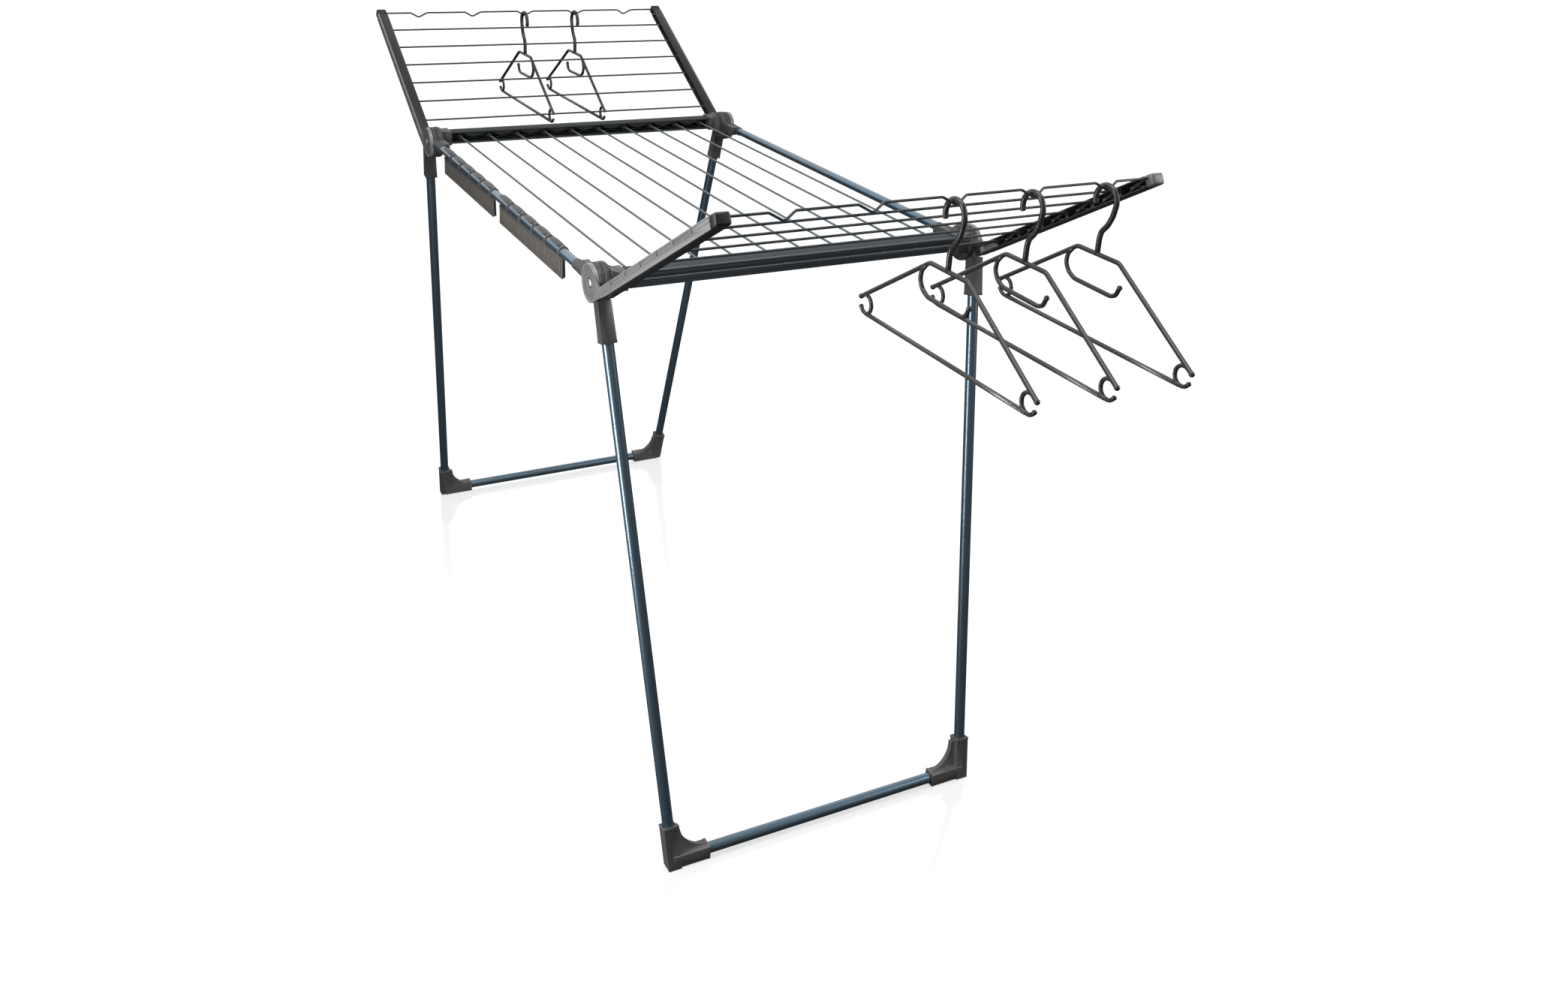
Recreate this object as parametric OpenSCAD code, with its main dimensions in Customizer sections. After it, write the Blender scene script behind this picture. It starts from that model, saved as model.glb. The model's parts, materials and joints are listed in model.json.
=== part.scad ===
// Folding clothes drying rack: a table of drying wires, two raised wings, two folding leg frames,
// two comb strips on one side tube and hangers hooked in the notches of the outermost wing wires.
// X runs along the rack, Y across it, Z up. The floor is Z = 0. Millimetres.

/* [Frame] */
// Distance of each hinge rivet from the middle, along the rack
rivet_x = 471; // [440:1:500]
// Height of the hinge rivets above the floor
rivet_z = 930; // [850:1:980]
// Distance of each side tube from the middle, across the rack
side_tube_y = 333; // [300:1:360]
// Height of the side tubes
side_tube_z = 933; // [920:0.5:940]
// Radius of the side tubes
side_tube_r = 7.5; // [6:0.1:9]
// Wall of all the steel tubes
tube_wall = 1.1; // [0.8:0.1:2]
// Outer face of the end rails, from the middle
rail_x = 499.7; // [490:0.1:510]
// Depth of the end rails
rail_depth = 32; // [24:0.5:40]
// Underside of the end rails
rail_low = 924.5; // [915:0.5:930]
// Top of the end rails
rail_high = 948.8; // [940:0.2:955]

/* [Drying wires] */
// Radius of the drying wires
wire_r = 1.9; // [1.5:0.05:2.5]
// Height of the table wires
table_wire_z = 938; // [934:0.5:942]
// Number of the table wires
table_wires = 10; // [6:1:14]
// Spacing of the table wires
table_pitch = 61; // [40:0.5:90]

/* [Wings] */
// Rise of the front wing above level
front_wing_angle = 30.1; // [20:0.1:45]
// Rise of the rear wing above level
rear_wing_angle = 28.9; // [20:0.1:45]
// Length of a wing arm from its rivet
arm_length = 467; // [400:1:470]
// Outer face of the wing arms, from the middle
arm_y = 345.6; // [330:0.1:360]
// Width of an arm
arm_width = 22.2; // [16:0.1:26]
// Number of wires in a wing
wing_wires = 7; // [4:1:9]
// Distance of the first wing wire from the rivet
wing_first = 90.9; // [70:0.1:110]
// Spacing of the wing wires
wing_pitch = 60.8; // [40:0.1:80]
// Distance of the wing wires below the line through the rivet
wing_drop = 20.3; // [10:0.1:30]
// Spacing of the hanging notches
notch_pitch = 125.3; // [100:0.1:150]
// Depth of a hanging notch
notch_depth = 10.7; // [6:0.1:14]

/* [Hinges] */
// Radius of the disc head of an arm
disc_r = 30; // [24:0.5:32]
// Thickness of the disc head
disc_t = 8; // [5:0.5:10]
// Radius of the hinge rivets
rivet_r = 4; // [3:0.1:6]
// Radius of the round plate of a hinge block
block_r = 31; // [26:0.5:34]

/* [Legs] */
// Radius of the leg tubes and cross tubes
leg_r = 9.2; // [8:0.1:12]
// Lean of the legs along the rack
leg_lean = 12.19; // [5:0.01:20]
// Lean of the legs across the rack
leg_turn = 3.3; // [0:0.01:6]
// Length of a leg socket below its rivet
socket_end = 88.5; // [70:0.5:120]
// Height of the cross tubes
cross_z = 12.5; // [10:0.5:20]

/* [Comb strips] */
// Length of a comb strip
comb_length = 331; // [200:1:360]
// Start of the front comb strip
comb_front_x = 2; // [0:1:60]
// Start of the rear comb strip
comb_rear_x = -366; // [-380:1:-340]
// Reach of the fins below the side tube
fin_reach = 43; // [30:0.5:60]

/* [Hangers] */
// Radius of the hook of a hanger
hook_rod_r = 4; // [3:0.1:5]
// Radius of the bars of a hanger
bar_r = 3.4; // [2.5:0.1:4.5]
// Radius of the bend of the hook
hook_bend = 21; // [16:0.5:30]
// Half of the distance between the strap notches
hanger_half = 189.5; // [150:0.5:220]
// Distance of the strap notches below the wire
hanger_drop = 200.5; // [150:0.5:240]

/* [Part] */
// Sub-part to show, or all of them

/* [Hidden] */
$fn = 48;
// Gap around each tube or wire in its hole
fit_gap = 0.05;
// Gap between the stacked hinge plates
plate_gap = 0.4;
// Inner face of the disc head
disc_in = arm_y - disc_t;
// Leg head plate, from its inner to its outer face
head_out = disc_in - plate_gap;
head_in = head_out - 8.3;
// Round plate of the hinge block
block_out = head_in - plate_gap;
block_in = block_out - 12.5;
// Upper and lower edges of an arm, in the frame of the wing
arm_top = -15.5;
arm_low = -32;
arm_in = arm_y - arm_width;
rail_end = block_in - 1;
// Offset of the leg axis from the rivet, along the rack
leg_off = 22.8;
leg_px = rivet_x + leg_off * cos(leg_lean);
leg_pz = rivet_z + leg_off * sin(leg_lean);
leg_py = 335.2;
leg_tube_start = 36;
leg_tube_end = 925;
foot_x = leg_px + (leg_pz - cross_z) * tan(leg_lean);
foot_side = 12.6;
foot_y = 280.8;
cross_end = 270;
// Joint balls are a little fatter than the rod, so that no two surfaces are tangent
ball_extra = 0.15;
joint_gap = 0.5;

function steel() = [0.27, 0.34, 0.40];
function charcoal() = [0.22, 0.22, 0.23];
function wire_grey() = [0.40, 0.43, 0.45];
function black_gloss() = [0.10, 0.10, 0.11];
function rail_grey() = [0.27, 0.32, 0.36];
function fin_brown() = [0.36, 0.33, 0.31];
function bright() = [0.75, 0.76, 0.78];

// ---- helpers ----
module to_left() mirror([0, 1, 0]) children();
module to_rear() mirror([1, 0, 0]) children();
// A block from corner a to corner b
module span(a, b) translate(a) cube([b[0] - a[0], b[1] - a[1], b[2] - a[2]]);
// A cylinder along Y from y0 to y1
module rod_y(x, z, y0, y1, r) translate([x, y0, z]) rotate([-90, 0, 0]) cylinder(r = r, h = y1 - y0);
// A cylinder along X from x0 to x1
module rod_x(y, z, x0, x1, r) translate([x0, y, z]) rotate([0, 90, 0]) cylinder(r = r, h = x1 - x0);
// A rod in the XZ plane between two points, stopping short of each by the gap
module rod_xz(a, b, r, gap) {
  dx = b[0] - a[0];
  dz = b[1] - a[1];
  long = sqrt(dx * dx + dz * dz);
  translate([a[0], 0, a[1]]) rotate([0, atan2(dx, dz), 0])
    translate([0, 0, gap]) cylinder(r = r, h = long - 2 * gap);
}
// A rod in the YZ plane between two points, stopping short of each by the gap
module rod_yz(a, b, r, gap) {
  dy = b[0] - a[0];
  dz = b[1] - a[1];
  long = sqrt(dy * dy + dz * dz);
  translate([0, a[0], a[1]]) rotate([-atan2(dy, dz), 0, 0])
    translate([0, 0, gap]) cylinder(r = r, h = long - 2 * gap);
}
// Part of a ring in the XZ plane, from angle a0 to a1, both measured from +X towards +Z
module arc_xz(c, bend, r, a0, a1) {
  translate([c[0], 0, c[1]]) rotate([90, 0, 0]) rotate([0, 0, a0])
    rotate_extrude(angle = a1 - a0, $fn = 96) translate([bend, 0]) circle(r = r, $fn = 32);
}
module ball_xz(p, r) translate([p[0], 0, p[1]]) sphere(r = r, $fn = 32);
module place_front_wing() translate([rivet_x, 0, rivet_z]) rotate([0, -front_wing_angle, 0]) children();
module place_rear_wing() to_rear()
  translate([rivet_x, 0, rivet_z]) rotate([0, -rear_wing_angle, 0]) children();
// Frame of the front right leg: local -Z runs down the leg
module place_leg() translate([leg_px, leg_py, leg_pz]) rotate([-leg_turn, -leg_lean, 0]) children();

// ---- main frame ----
module side_tube() {
  difference() {
    rod_x(side_tube_y, side_tube_z, -424, 424, side_tube_r);
    rod_x(side_tube_y, side_tube_z, -425, 425, side_tube_r - tube_wall);
  }
}
module side_tube_left() color(steel()) to_left() side_tube();
module side_tube_right() color(steel()) side_tube();

// Ribbed channel of the front end rail, open towards the middle of the rack
module rail_bay_ribs(y0) {
  for (s = [-1, 1])
    translate([rail_x - 15, y0 + table_pitch / 2, (rail_low + rail_high) / 2])
      rotate([s * 18, 0, 0]) cube([24, 62, 1.2], center = true);
}
module end_rail() {
  inner = rail_x - rail_depth;
  difference() {
    union() {
      span([rail_x - 4, -rail_end, rail_low], [rail_x, rail_end, rail_high]);
      span([inner, -rail_end, rail_high - 2.4], [rail_x - 3, rail_end, rail_high]);
      span([inner, -rail_end, rail_low], [rail_x - 3, rail_end, rail_low + 2.4]);
      intersection() {
        span([inner, -rail_end, rail_low + 1], [rail_x - 2, rail_end, rail_high - 1]);
        for (i = [0 : table_wires - 2])
          rail_bay_ribs((i - (table_wires - 1) / 2) * table_pitch);
      }
      for (i = [0 : table_wires - 1]) {
        y = (i - (table_wires - 1) / 2) * table_pitch;
        rod_x(y, table_wire_z, inner, rail_x - 3, 4.6);
        span([inner + 4, y - 0.7, rail_low + 1], [rail_x - 3, y + 0.7, rail_high - 1]);
      }
    }
    for (i = [0 : table_wires - 1])
      rod_x((i - (table_wires - 1) / 2) * table_pitch, table_wire_z, inner - 1, rail_x + 1, wire_r + fit_gap);
    span([rail_x - 1.2, -rail_end - 1, 934.6], [rail_x + 1, rail_end + 1, 941.6]);
    span([rail_x - 0.5, -rail_end - 1, 941], [rail_x + 1, rail_end + 1, rail_high + 1]);
    span([rail_x - 0.5, -rail_end - 1, rail_low - 1], [rail_x + 1, rail_end + 1, 931.8]);
  }
}
module end_rail_front() color(rail_grey()) end_rail();
module end_rail_rear() color(rail_grey()) to_rear() end_rail();

// Hinge block of the front right corner: round plate, collar of the side tube and collar of the rail
module hinge_block() {
  inner = rail_x - rail_depth;
  difference() {
    union() {
      rod_y(rivet_x, rivet_z, block_in, block_out, block_r);
      span([inner - 2.2, block_in - 22, rail_low - 2.2], [rail_x + 1.8, block_in + 1, rail_high + 2.2]);
      rod_x(side_tube_y, side_tube_z, 388, 432, 10.2);
      span([396, block_in + 1, side_tube_z - 9], [452, block_out - 1, side_tube_z + 9]);
      span([388, block_in + 3, side_tube_z - 7], [432, block_out, side_tube_z + 7]);
    }
    rod_x(side_tube_y, side_tube_z, 387, 424.1, side_tube_r + fit_gap);
    span([inner - 0.1, block_in - 23, rail_low - 0.1], [rail_x + 0.1, block_in - 0.9, rail_high + 0.1]);
    rod_y(rivet_x, rivet_z, block_in - 1, block_out + 1, rivet_r + fit_gap);
    rod_y(rivet_x, rivet_z, block_in - 1, block_in + 1.6, 7.2);
  }
}
module hinge_block_front_left() color(charcoal()) to_left() hinge_block();
module hinge_block_front_right() color(charcoal()) hinge_block();
module hinge_block_rear_left() color(charcoal()) to_rear() to_left() hinge_block();
module hinge_block_rear_right() color(charcoal()) to_rear() hinge_block();

module rivet() {
  rod_y(rivet_x, rivet_z, block_in + 0.4, arm_y - 0.4, rivet_r);
  rod_y(rivet_x, rivet_z, block_in + 0.2, block_in + 1.5, 6.5);
  rod_y(rivet_x, rivet_z, arm_y - 1.1, arm_y - 0.1, 6.5);
}
module rivet_pair() {
  rivet();
  to_left() rivet();
}
module rivets_front() color(bright()) rivet_pair();
module rivets_rear() color(bright()) to_rear() rivet_pair();

module table_wire(i)
  rod_x((i - (table_wires + 1) / 2) * table_pitch, table_wire_z, 1.4 - rail_x, rail_x - 1.4, wire_r);
module table_wire_1() color(wire_grey()) table_wire(1);
module table_wire_2() color(wire_grey()) table_wire(2);
module table_wire_3() color(wire_grey()) table_wire(3);
module table_wire_4() color(wire_grey()) table_wire(4);
module table_wire_5() color(wire_grey()) table_wire(5);
module table_wire_6() color(wire_grey()) table_wire(6);
module table_wire_7() color(wire_grey()) table_wire(7);
module table_wire_8() color(wire_grey()) table_wire(8);
module table_wire_9() color(wire_grey()) table_wire(9);
module table_wire_10() color(wire_grey()) table_wire(10);

// ---- wings, in the frame of the wing: X along the arm, origin on the rivets ----
module arm_face() {
  circle(r = disc_r, $fn = 96);
  polygon([[4, -29.6], [60, arm_low], [arm_length - 8, arm_low], [arm_length - 8, arm_top], [50, arm_top],
    [42, -14], [36, -11], [31.5, -7], [28.6, -2], [4, 0]]);
}
// Outline of the closed end of an arm, with rounded corners
module arm_end() {
  polygon([[448, -33], [arm_length - 7, -33], [arm_length - 3.5, -32], [arm_length - 1, -29.5],
    [arm_length, -26], [arm_length, -21.5], [arm_length - 1, -18], [arm_length - 3.5, -15.5],
    [arm_length - 7, -14.5], [448, -14.5]]);
}
module upright(y0, y1) translate([0, y1, 0]) rotate([90, 0, 0]) linear_extrude(height = y1 - y0) children();
module arm_bay_ribs(x0) {
  for (s = [-1, 1])
    translate([x0 + wing_pitch / 2, arm_y - 9.6, (arm_top + arm_low) / 2])
      rotate([0, s * 13, 0]) cube([61, 15, 1.2], center = true);
}
module wing_arm() {
  difference() {
    union() {
      upright(arm_y - 3, arm_y) arm_face();
      rod_y(0, 0, disc_in, arm_y - 1, disc_r - 0.3);
      span([34, arm_in, arm_top - 2.2], [450, arm_y - 2, arm_top]);
      span([30, arm_in, arm_low], [450, arm_y - 2, arm_low + 2.2]);
      span([34, arm_in, arm_low + 1], [36.4, arm_y - 2, arm_top - 1]);
      upright(arm_in - 0.4, arm_y + 0.2) arm_end();
      for (i = [0 : wing_wires - 1]) {
        x = wing_first + i * wing_pitch;
        rod_y(x, -wing_drop, arm_in, arm_y - 2, 3.9);
        span([x - 0.7, arm_in + 4, arm_low + 1], [x + 0.7, arm_y - 2, arm_top - 1]);
      }
      for (i = [0 : wing_wires - 3]) arm_bay_ribs(wing_first + i * wing_pitch);
    }
    for (i = [0 : wing_wires - 1])
      rod_y(wing_first + i * wing_pitch, -wing_drop, arm_in - 1, arm_y + 1, wire_r + fit_gap);
    rod_y(0, 0, disc_in - 1, arm_y + 1, rivet_r + fit_gap);
    difference() {
      rod_y(0, 0, arm_y - 1.4, arm_y + 1, 25.5);
      rod_y(0, 0, arm_y - 2, arm_y - 0.4, 12);
    }
    rod_y(0, 0, arm_y - 1.45, arm_y + 1, 7.2);
  }
}
module front_arm_left() color(charcoal()) place_front_wing() to_left() wing_arm();
module front_arm_right() color(charcoal()) place_front_wing() wing_arm();
module rear_arm_left() color(charcoal()) place_rear_wing() to_left() wing_arm();
module rear_arm_right() color(charcoal()) place_rear_wing() wing_arm();

module wing_wire(i) rod_y(wing_first + (i - 1) * wing_pitch, -wing_drop, 0.4 - arm_y, arm_y - 0.4, wire_r);
// Outermost wire of a wing, with five notches pressed down into it
module notch(y) {
  low = -wing_drop - notch_depth;
  rod_yz([y - 18.5, -wing_drop], [y - 2.2, low], wire_r, 0.3);
  rod_yz([y - 2.2, low], [y + 2.2, low], wire_r, 0.3);
  rod_yz([y + 2.2, low], [y + 18.5, -wing_drop], wire_r, 0.3);
  for (p = [[-18.5, -wing_drop], [-2.2, low], [2.2, low], [18.5, -wing_drop]])
    translate([0, y + p[0], p[1]]) sphere(r = wire_r + 0.12, $fn = 32);
}
module notched_wire() {
  translate([wing_first + (wing_wires - 1) * wing_pitch, 0, 0]) {
    for (k = [-2 : 2]) notch(k * notch_pitch);
    for (k = [-2 : 1])
      rod_yz([k * notch_pitch + 18.5, -wing_drop], [(k + 1) * notch_pitch - 18.5, -wing_drop], wire_r, 0.3);
    rod_yz([0.1 - arm_y, -wing_drop], [-2 * notch_pitch - 18.5, -wing_drop], wire_r, 0.3);
    rod_yz([2 * notch_pitch + 18.5, -wing_drop], [arm_y - 0.1, -wing_drop], wire_r, 0.3);
  }
}
module front_wire_1() color(wire_grey()) place_front_wing() wing_wire(1);
module front_wire_2() color(wire_grey()) place_front_wing() wing_wire(2);
module front_wire_3() color(wire_grey()) place_front_wing() wing_wire(3);
module front_wire_4() color(wire_grey()) place_front_wing() wing_wire(4);
module front_wire_5() color(wire_grey()) place_front_wing() wing_wire(5);
module front_wire_6() color(wire_grey()) place_front_wing() wing_wire(6);
module front_wire_7() color(wire_grey()) place_front_wing() notched_wire();
module rear_wire_1() color(wire_grey()) place_rear_wing() wing_wire(1);
module rear_wire_2() color(wire_grey()) place_rear_wing() wing_wire(2);
module rear_wire_3() color(wire_grey()) place_rear_wing() wing_wire(3);
module rear_wire_4() color(wire_grey()) place_rear_wing() wing_wire(4);
module rear_wire_5() color(wire_grey()) place_rear_wing() wing_wire(5);
module rear_wire_6() color(wire_grey()) place_rear_wing() wing_wire(6);
module rear_wire_7() color(wire_grey()) place_rear_wing() notched_wire();

// ---- legs ----
// Head plate on the rivet and the tapered box around the top of the leg tube
module leg_head() {
  translate([rivet_x, 0, rivet_z]) rotate([0, -leg_lean, 0])
    upright(head_in, head_out) {
      circle(r = 28, $fn = 96);
      polygon([[4, -8], [28.5, -10], [32.6, -32], [32.6, -44], [12.8, -44], [4, -30]]);
    }
}
module leg_box() {
  top = -33.5;
  low = -socket_end;
  place_leg() {
    translate([-10.4, -11, low]) cube([20.8, 22, top - low]);
    translate([-9.4, -12.4, low + 3]) cube([18.8, 24.8, top - low - 3]);
    translate([-11, -11.6, low]) cube([22, 23.2, 5]);
  }
}
module leg_socket() {
  difference() {
    union() {
      leg_head();
      leg_box();
    }
    place_leg() translate([0, 0, -socket_end - 1])
      cylinder(r = leg_r + fit_gap, h = socket_end + 1.1 - leg_tube_start);
    rod_y(rivet_x, rivet_z, head_in - 1, head_out + 1, rivet_r + fit_gap);
  }
}
module leg_socket_front_left() color(charcoal()) to_left() leg_socket();
module leg_socket_front_right() color(charcoal()) leg_socket();
module leg_socket_rear_left() color(charcoal()) to_rear() to_left() leg_socket();
module leg_socket_rear_right() color(charcoal()) to_rear() leg_socket();

module leg_tube() {
  place_leg() difference() {
    translate([0, 0, -leg_tube_end]) cylinder(r = leg_r, h = leg_tube_end - leg_tube_start);
    translate([0, 0, -leg_tube_end - 1])
      cylinder(r = leg_r - tube_wall, h = leg_tube_end - leg_tube_start + 2);
  }
}
module leg_tube_front_left() color(steel()) to_left() leg_tube();
module leg_tube_front_right() color(steel()) leg_tube();
module leg_tube_rear_left() color(steel()) to_rear() to_left() leg_tube();
module leg_tube_rear_right() color(steel()) to_rear() leg_tube();

// Corner foot: collar around the leg, collar around the cross tube and a curved web between them
module foot() {
  difference() {
    union() {
      place_leg() {
        translate([-foot_side, -foot_side + 2.5, -962]) cube([2 * foot_side, 2 * foot_side - 5, 79]);
        translate([-foot_side + 2.5, -foot_side, -962]) cube([2 * foot_side - 5, 2 * foot_side, 79]);
        translate([-foot_side - 0.6, -foot_side + 2, -888]) cube([2 * foot_side + 1.2, 2 * foot_side - 4, 5]);
      }
      translate([foot_x, 217, cross_z]) {
        span([-foot_side, 0, -cross_z], [foot_side, 64, foot_side - 2.5]);
        span([-foot_side + 2.5, 0, -cross_z], [foot_side - 2.5, 64, foot_side]);
        span([-foot_side - 0.6, 0, -cross_z], [foot_side + 0.6, 5, foot_side - 1.6]);
      }
      translate([foot_x, 0, cross_z]) rotate([0, -leg_lean, 0])
        translate([-2.2, 0, 0]) rotate([90, 0, 90]) linear_extrude(height = 4.4) foot_web();
    }
    span([foot_x - 60, 180, -60], [foot_x + 60, 340, 0]);
    rod_y(foot_x, cross_z, 216, cross_end + 0.5, leg_r + fit_gap);
    place_leg() translate([0, 0, -leg_tube_end - 0.5]) cylinder(r = leg_r + fit_gap, h = 60);
  }
}
module foot_web() {
  difference() {
    square_at(226, 274, 0, 53);
    translate([222, 62]) circle(r = 47.3, $fn = 96);
  }
}
module square_at(x0, x1, y0, y1) translate([x0, y0]) square([x1 - x0, y1 - y0]);
module foot_front_left() color(charcoal()) to_left() foot();
module foot_front_right() color(charcoal()) foot();
module foot_rear_left() color(charcoal()) to_rear() to_left() foot();
module foot_rear_right() color(charcoal()) to_rear() foot();

module cross_tube() {
  difference() {
    rod_y(foot_x, cross_z, -cross_end, cross_end, leg_r);
    rod_y(foot_x, cross_z, -cross_end - 1, cross_end + 1, leg_r - tube_wall);
  }
}
module cross_tube_front() color(steel()) cross_tube();
module cross_tube_rear() color(steel()) to_rear() cross_tube();

// ---- comb strips on the left side tube ----
module comb() {
  segment = comb_length / 5;
  fins = 36;
  difference() {
    union() {
      for (i = [0 : 4]) {
        rod_x(0, 0, i * segment + 1, (i + 1) * segment - 6, 9.7);
        rod_x(0, 0, (i + 1) * segment - 8, (i + 1) * segment - 3.5, 10.8);
        rod_x(0, 0, i * segment + 12, (i + 1) * segment - 14, 10.8);
      }
    }
    rod_x(0, 0, -1, comb_length + 1, side_tube_r + fit_gap);
    for (i = [0 : 4]) {
      span([i * segment - 1, -20, -20], [(i + 1) * segment - 8, -1.5, 20]);
      span([(i + 1) * segment - 3.5, -20, -20], [(i + 1) * segment + 1, -1.5, 20]);
    }
  }
  span([0, -4.6, -14], [comb_length - 3, 0.6, -8.4]);
  for (i = [0 : fins - 1])
    span([i * 9.2 + 1, -3.6, -fin_reach], [i * 9.2 + 7.2, -1.2, -13]);
}
module comb_front() color(fin_brown()) translate([comb_front_x, -side_tube_y, side_tube_z]) comb();
module comb_rear() color(fin_brown()) translate([comb_rear_x, -side_tube_y, side_tube_z]) comb();

// ---- hangers, in the XZ plane, with the origin on the wire that they hang from ----
module hook() {
  c = [0, wire_r + 0.06 + hook_rod_r - hook_bend];
  start = [c[0] + hook_bend * cos(200), c[1] + hook_bend * sin(200)];
  end = [c[0] + hook_bend * cos(12), c[1] - hook_bend * sin(12)];
  path = [end, [17.8, -34], [10.5, -48.5], [0.2, -59.5], [-1.8, -70], [-1.6, -92]];
  arc_xz(c, hook_bend, hook_rod_r, -11, 200);
  ball_xz(start, hook_rod_r + 0.5);
  for (i = [0 : 4]) {
    rod_xz(path[i], path[i + 1], hook_rod_r, joint_gap);
    ball_xz(path[i], hook_rod_r + ball_extra);
  }
}
// Strap notch at one end: a ring open to the outside, with a ball on its lower lip
module strap_notch() {
  c = [hanger_half, -hanger_drop];
  arc_xz(c, 14, bar_r - 0.4, 70, 322);
  ball_xz([c[0] + 14 * cos(322), c[1] + 14 * sin(322)], bar_r + 0.6);
}
module shoulder() {
  rod_xz([43, -92], [204.5, -193], bar_r, joint_gap);
  ball_xz([43, -92], bar_r + ball_extra);
  ball_xz([204.5, -193], bar_r + 0.7);
  strap_notch();
}
module inner_hook() {
  r = bar_r - 0.1;
  path = [[-52, -97.6], [-60.5, -108], [-62.5, -121], [-55, -133],
    [-41, -140], [36, -141.5], [46, -137.5], [50.5, -127]];
  for (i = [0 : 6]) {
    rod_xz(path[i], path[i + 1], r, joint_gap);
    ball_xz(path[i + 1], r + (i == 6 ? 0.5 : ball_extra));
  }
}
module hanger() {
  hook();
  shoulder();
  mirror([1, 0, 0]) shoulder();
  rod_xz([-43, -92], [43, -92], bar_r - 0.05, joint_gap);
  rod_xz([-hanger_half, -hanger_drop - 14], [hanger_half, -hanger_drop - 14], bar_r - 0.1, joint_gap);
  inner_hook();
}
function notch_x(a) = rivet_x + (wing_first + (wing_wires - 1) * wing_pitch) * cos(a)
  + (wing_drop + notch_depth) * sin(a);
function notch_z(a) = rivet_z + (wing_first + (wing_wires - 1) * wing_pitch) * sin(a)
  - (wing_drop + notch_depth) * cos(a);
module front_hanger(k)
  translate([notch_x(front_wing_angle), k * notch_pitch, notch_z(front_wing_angle)]) hanger();
module rear_hanger(k)
  translate([-notch_x(rear_wing_angle), k * notch_pitch, notch_z(rear_wing_angle)]) to_rear() hanger();
module hanger_front_1() color(black_gloss()) front_hanger(0);
module hanger_front_2() color(black_gloss()) front_hanger(1);
module hanger_front_3() color(black_gloss()) front_hanger(2);
module hanger_rear_1() color(black_gloss()) rear_hanger(0);
module hanger_rear_2() color(black_gloss()) rear_hanger(1);

side_tube_left();
side_tube_right();
end_rail_front();
end_rail_rear();
hinge_block_front_left();
hinge_block_front_right();
hinge_block_rear_left();
hinge_block_rear_right();
rivets_front();
rivets_rear();
table_wire_1();
table_wire_2();
table_wire_3();
table_wire_4();
table_wire_5();
table_wire_6();
table_wire_7();
table_wire_8();
table_wire_9();
table_wire_10();
front_arm_left();
front_arm_right();
rear_arm_left();
rear_arm_right();
front_wire_1();
front_wire_2();
front_wire_3();
front_wire_4();
front_wire_5();
front_wire_6();
front_wire_7();
rear_wire_1();
rear_wire_2();
rear_wire_3();
rear_wire_4();
rear_wire_5();
rear_wire_6();
rear_wire_7();
leg_socket_front_left();
leg_socket_front_right();
leg_socket_rear_left();
leg_socket_rear_right();
leg_tube_front_left();
leg_tube_front_right();
leg_tube_rear_left();
leg_tube_rear_right();
foot_front_left();
foot_front_right();
foot_rear_left();
foot_rear_right();
cross_tube_front();
cross_tube_rear();
comb_front();
comb_rear();
hanger_front_1();
hanger_front_2();
hanger_front_3();
hanger_rear_1();
hanger_rear_2();
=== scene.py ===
"""Folding clothes drying rack: the finished looks of the rack, built around its CAD frame.

X runs along the rack, Y across it and Z up, in metres, with the floor at Z = 0.
"""

import json
import math

import bmesh
import bpy
from mathutils import Matrix, Vector


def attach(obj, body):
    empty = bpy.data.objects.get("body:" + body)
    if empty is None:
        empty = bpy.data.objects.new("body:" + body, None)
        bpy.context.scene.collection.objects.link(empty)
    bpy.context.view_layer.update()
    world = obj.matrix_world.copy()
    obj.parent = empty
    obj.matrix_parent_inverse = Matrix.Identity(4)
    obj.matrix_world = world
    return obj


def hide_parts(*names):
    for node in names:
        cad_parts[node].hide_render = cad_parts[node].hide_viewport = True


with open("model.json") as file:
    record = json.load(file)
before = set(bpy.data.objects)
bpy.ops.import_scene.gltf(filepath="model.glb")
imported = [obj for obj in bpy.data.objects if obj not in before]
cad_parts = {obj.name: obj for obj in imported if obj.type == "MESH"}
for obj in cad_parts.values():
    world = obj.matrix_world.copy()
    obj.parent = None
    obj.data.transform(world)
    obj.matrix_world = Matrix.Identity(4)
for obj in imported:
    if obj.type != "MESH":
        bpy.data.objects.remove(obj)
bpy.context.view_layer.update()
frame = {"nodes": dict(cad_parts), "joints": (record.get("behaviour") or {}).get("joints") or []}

MM = 0.001
SIDES = {"left": -1, "right": 1}
ENDS = {"front": 1, "rear": -1}


# ---------------------------------------------------------------- finishes

class Term:
    """A shader socket that can be written in sums."""

    def __init__(self, finish, socket):
        self.finish = finish
        self.socket = socket

    def maths(self, operation, *terms):
        return self.finish.node(
            "ShaderNodeMath", {"operation": operation}, dict(enumerate(terms)))

    def __add__(self, other):
        return self.maths("ADD", self, other)

    def __radd__(self, other):
        return self.maths("ADD", other, self)

    def __sub__(self, other):
        return self.maths("SUBTRACT", self, other)

    def __rsub__(self, other):
        return self.maths("SUBTRACT", other, self)

    def __mul__(self, other):
        return self.maths("MULTIPLY", self, other)

    def __rmul__(self, other):
        return self.maths("MULTIPLY", other, self)


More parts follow.
